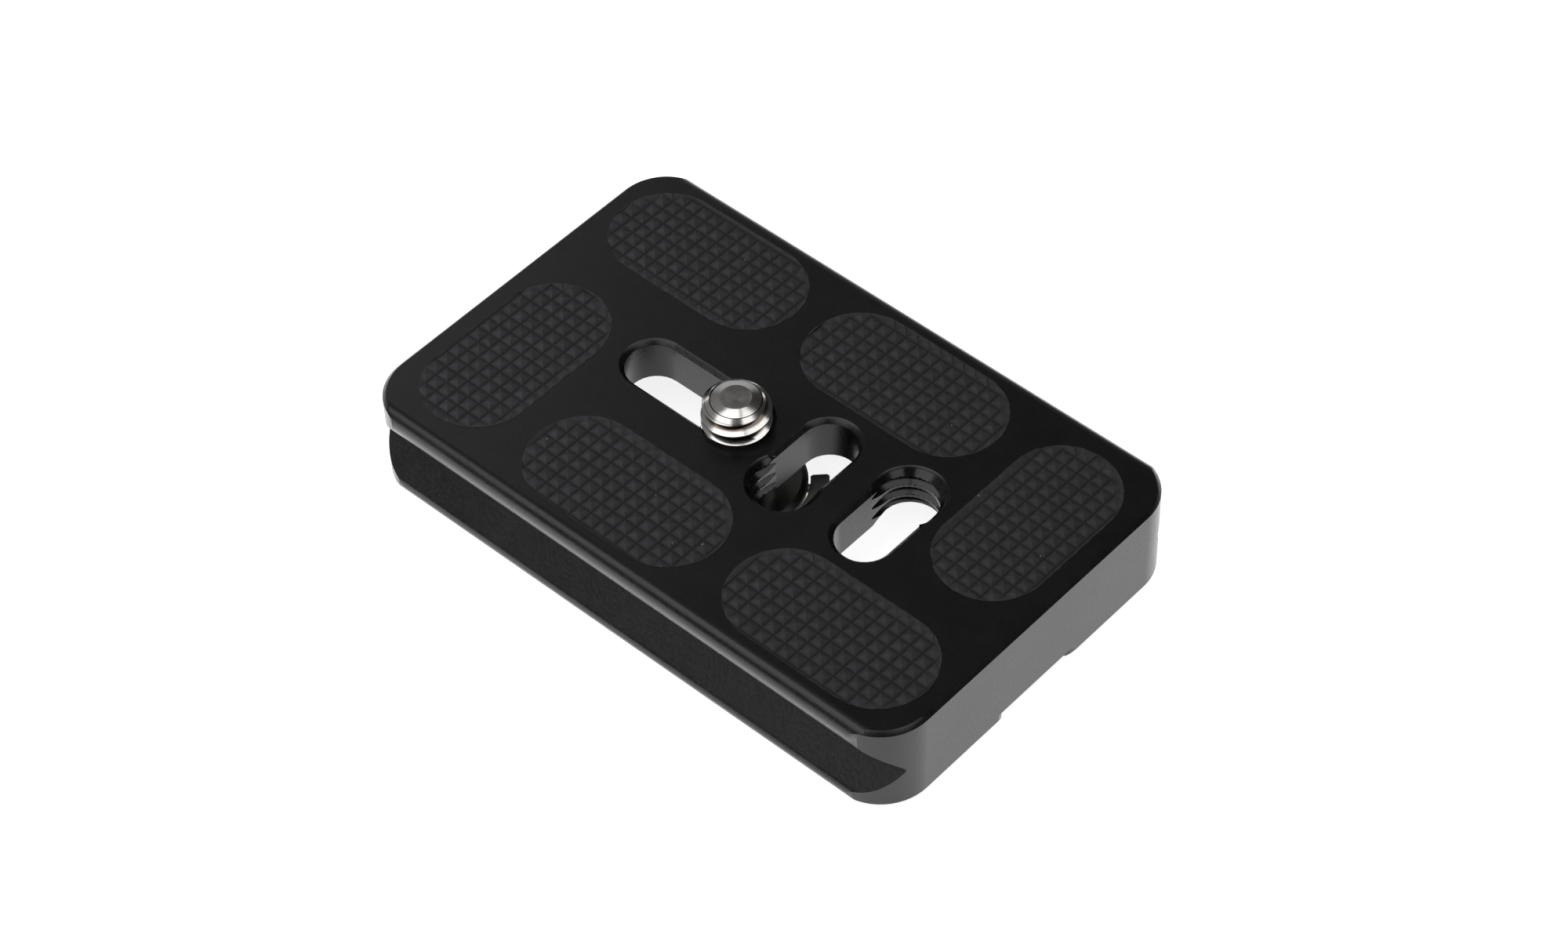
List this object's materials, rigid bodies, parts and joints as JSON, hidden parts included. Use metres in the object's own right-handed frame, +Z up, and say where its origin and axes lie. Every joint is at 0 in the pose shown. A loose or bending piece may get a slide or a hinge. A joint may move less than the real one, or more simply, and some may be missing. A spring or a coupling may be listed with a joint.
{
  "type": "camera quick release plate",
  "caption": "Black quick release plate for a camera, with clamp grooves along both long sides, inlaid rubber pads, slots and a sliding camera screw with a folding ring.",
  "frame": {"origin": "middle of the plate's flat underside", "axes": "+X along the plate, +Z up through the face that the camera sits on, the clamp grooves face -Y and +Y"},
  "size_m": [0.06, 0.0384, 0.0125],
  "materials": {
    "plate": "bead blasted and black anodised",
    "pad": "matte, moulded with small pyramids",
    "screw": "bright turned",
    "ring": "satin"
  },
  "bodies": {
    "plate": {"plate_body": "plate", "pad_left_end": "pad", "pad_right_end": "pad", "pad_back_left": "pad", "pad_back_right": "pad", "pad_front_left": "pad", "pad_front_right": "pad"},
    "screw": {"camera_screw": "screw"},
    "ring": {"d_ring": "ring"}
  },
  "joints": [
    {"name": "screw_slide", "type": "slide", "parent": "plate", "child": "screw", "axis": [-1, 0, 0], "range_m": [0, 0.0098]},
    {"name": "ring_fold", "type": "hinge", "parent": "screw", "child": "ring", "pos_m": [-0.00324, -0.00022, 0.00135], "axis": [0.809, 0.5878, 0], "range_deg": [0, 180]}
  ]
}
